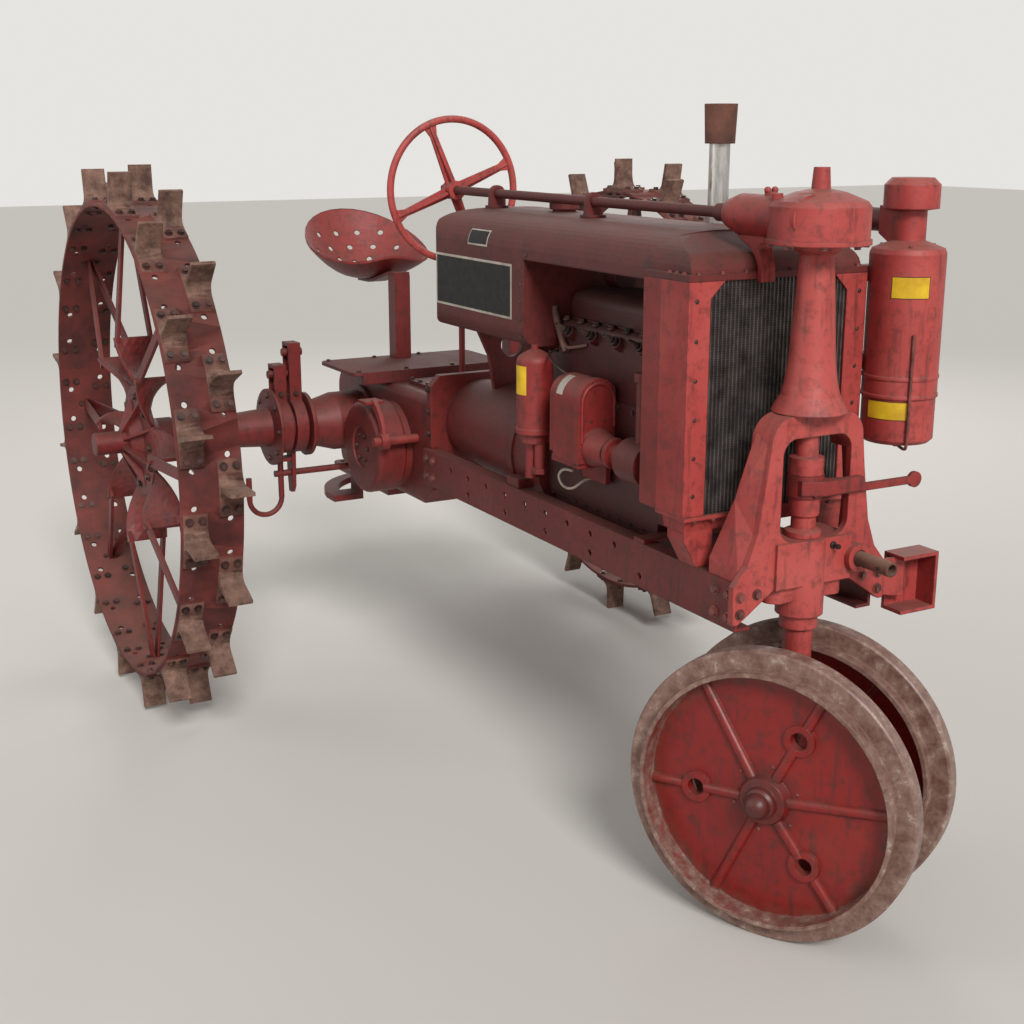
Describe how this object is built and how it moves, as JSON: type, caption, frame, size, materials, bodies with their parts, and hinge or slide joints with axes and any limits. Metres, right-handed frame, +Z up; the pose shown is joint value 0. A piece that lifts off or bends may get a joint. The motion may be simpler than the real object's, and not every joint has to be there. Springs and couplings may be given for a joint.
{
  "type": "vintage tractor",
  "caption": "Narrow-front row-crop tractor on steel wheels with spade lugs, open engine, pan seat and a steering shaft over the hood.",
  "frame": {"origin": "middle of the bounding box, on the ground", "axes": "+X points forward, +Y to the driver's left, +Z up"},
  "size_m": [3.0903, 1.996, 1.734],
  "materials": {
    "faded_red_paint": "faded red paint, chalky and dusty",
    "dusty_dark_red_paint": "dark red paint worn to rust, dusty on top",
    "dark_cast_iron": "cast iron with worn red paint and old grease",
    "rusty_steel": "rusted steel, dull",
    "bare_pipe": "bare weathered steel pipe"
  },
  "bodies": {
    "chassis": {"frame_rail_right": "dusty_dark_red_paint", "frame_rail_left": "dusty_dark_red_paint", "front_pedestal": "faded_red_paint", "steering_post": "faded_red_paint", "steering_gear_case": "faded_red_paint", "radiator_core": "rusty_steel", "radiator_top_tank": "faded_red_paint", "radiator_bottom_tank": "faded_red_paint", "radiator_sides": "faded_red_paint", "fan_shroud": "dusty_dark_red_paint", "hood": "dusty_dark_red_paint", "fuel_tank": "dusty_dark_red_paint", "fuel_cap": "faded_red_paint", "shaft_supports": "faded_red_paint", "engine_block": "dark_cast_iron", "valve_cover": "dark_cast_iron", "oil_pan": "dark_cast_iron", "timing_cover": "faded_red_paint", "magneto": "faded_red_paint", "oil_filter": "faded_red_paint", "exhaust_manifold": "dark_cast_iron", "exhaust_pipe": "bare_pipe", "exhaust_can": "rusty_steel", "air_cleaner": "faded_red_paint", "air_pipe": "rusty_steel", "bell_housing": "dark_cast_iron", "gearbox": "dark_cast_iron", "axle_housing_right": "dark_cast_iron", "axle_housing_left": "dark_cast_iron", "axle_brackets": "faded_red_paint", "drawbar": "dark_cast_iron", "seat_support": "dusty_dark_red_paint", "seat": "faded_red_paint", "platform": "dusty_dark_red_paint", "levers": "faded_red_paint"},
    "rear_wheel_right": {"rear_rim_right": "rusty_steel", "rear_centre_right": "faded_red_paint"},
    "rear_wheel_left": {"rear_rim_left": "rusty_steel", "rear_centre_left": "faded_red_paint"},
    "front_steering": {"front_spindle": "faded_red_paint"},
    "front_wheel_right_body": {"front_wheel_right": "faded_red_paint"},
    "front_wheel_left_body": {"front_wheel_left": "faded_red_paint"},
    "steering_column": {"steering_wheel": "faded_red_paint", "steering_shaft": "rusty_steel"},
    "fan_body": {"fan": "dark_cast_iron"}
  },
  "joints": [
    {"name": "rear_wheel_right_turns", "type": "hinge", "parent": "chassis", "child": "rear_wheel_right", "pos_m": [-0.75611, -0.862, 0.79], "axis": [0, 1, 0], "continuous": true},
    {"name": "rear_wheel_left_turns", "type": "hinge", "parent": "chassis", "child": "rear_wheel_left", "pos_m": [-0.75611, 0.862, 0.79], "axis": [0, 1, 0], "continuous": true},
    {"name": "front_steering_turns", "type": "hinge", "parent": "chassis", "child": "front_steering", "pos_m": [1.19989, 0, 0.323], "axis": [0, 0, 1], "range_deg": [-103, 47]},
    {"name": "front_wheel_right_turns", "type": "hinge", "parent": "front_steering", "child": "front_wheel_right_body", "pos_m": [1.25106, -0.09624, 0.323], "axis": [-0.4695, 0.8829, 0], "continuous": true},
    {"name": "front_wheel_left_turns", "type": "hinge", "parent": "front_steering", "child": "front_wheel_left_body", "pos_m": [1.14872, 0.09624, 0.323], "axis": [-0.4695, 0.8829, 0], "continuous": true},
    {"name": "steering_wheel_turns", "type": "hinge", "parent": "chassis", "child": "steering_column", "pos_m": [-0.30411, -0.05, 1.511], "axis": [1, 0, 0], "range_deg": [-400, 850]},
    {"name": "fan_turns", "type": "hinge", "parent": "chassis", "child": "fan_body", "pos_m": [0.92389, 0, 1.15], "axis": [1, 0, 0], "continuous": true}
  ],
  "couplings": [
    {"joint": "steering_wheel_turns", "follows": "front_steering_turns", "ratio": -8}
  ]
}
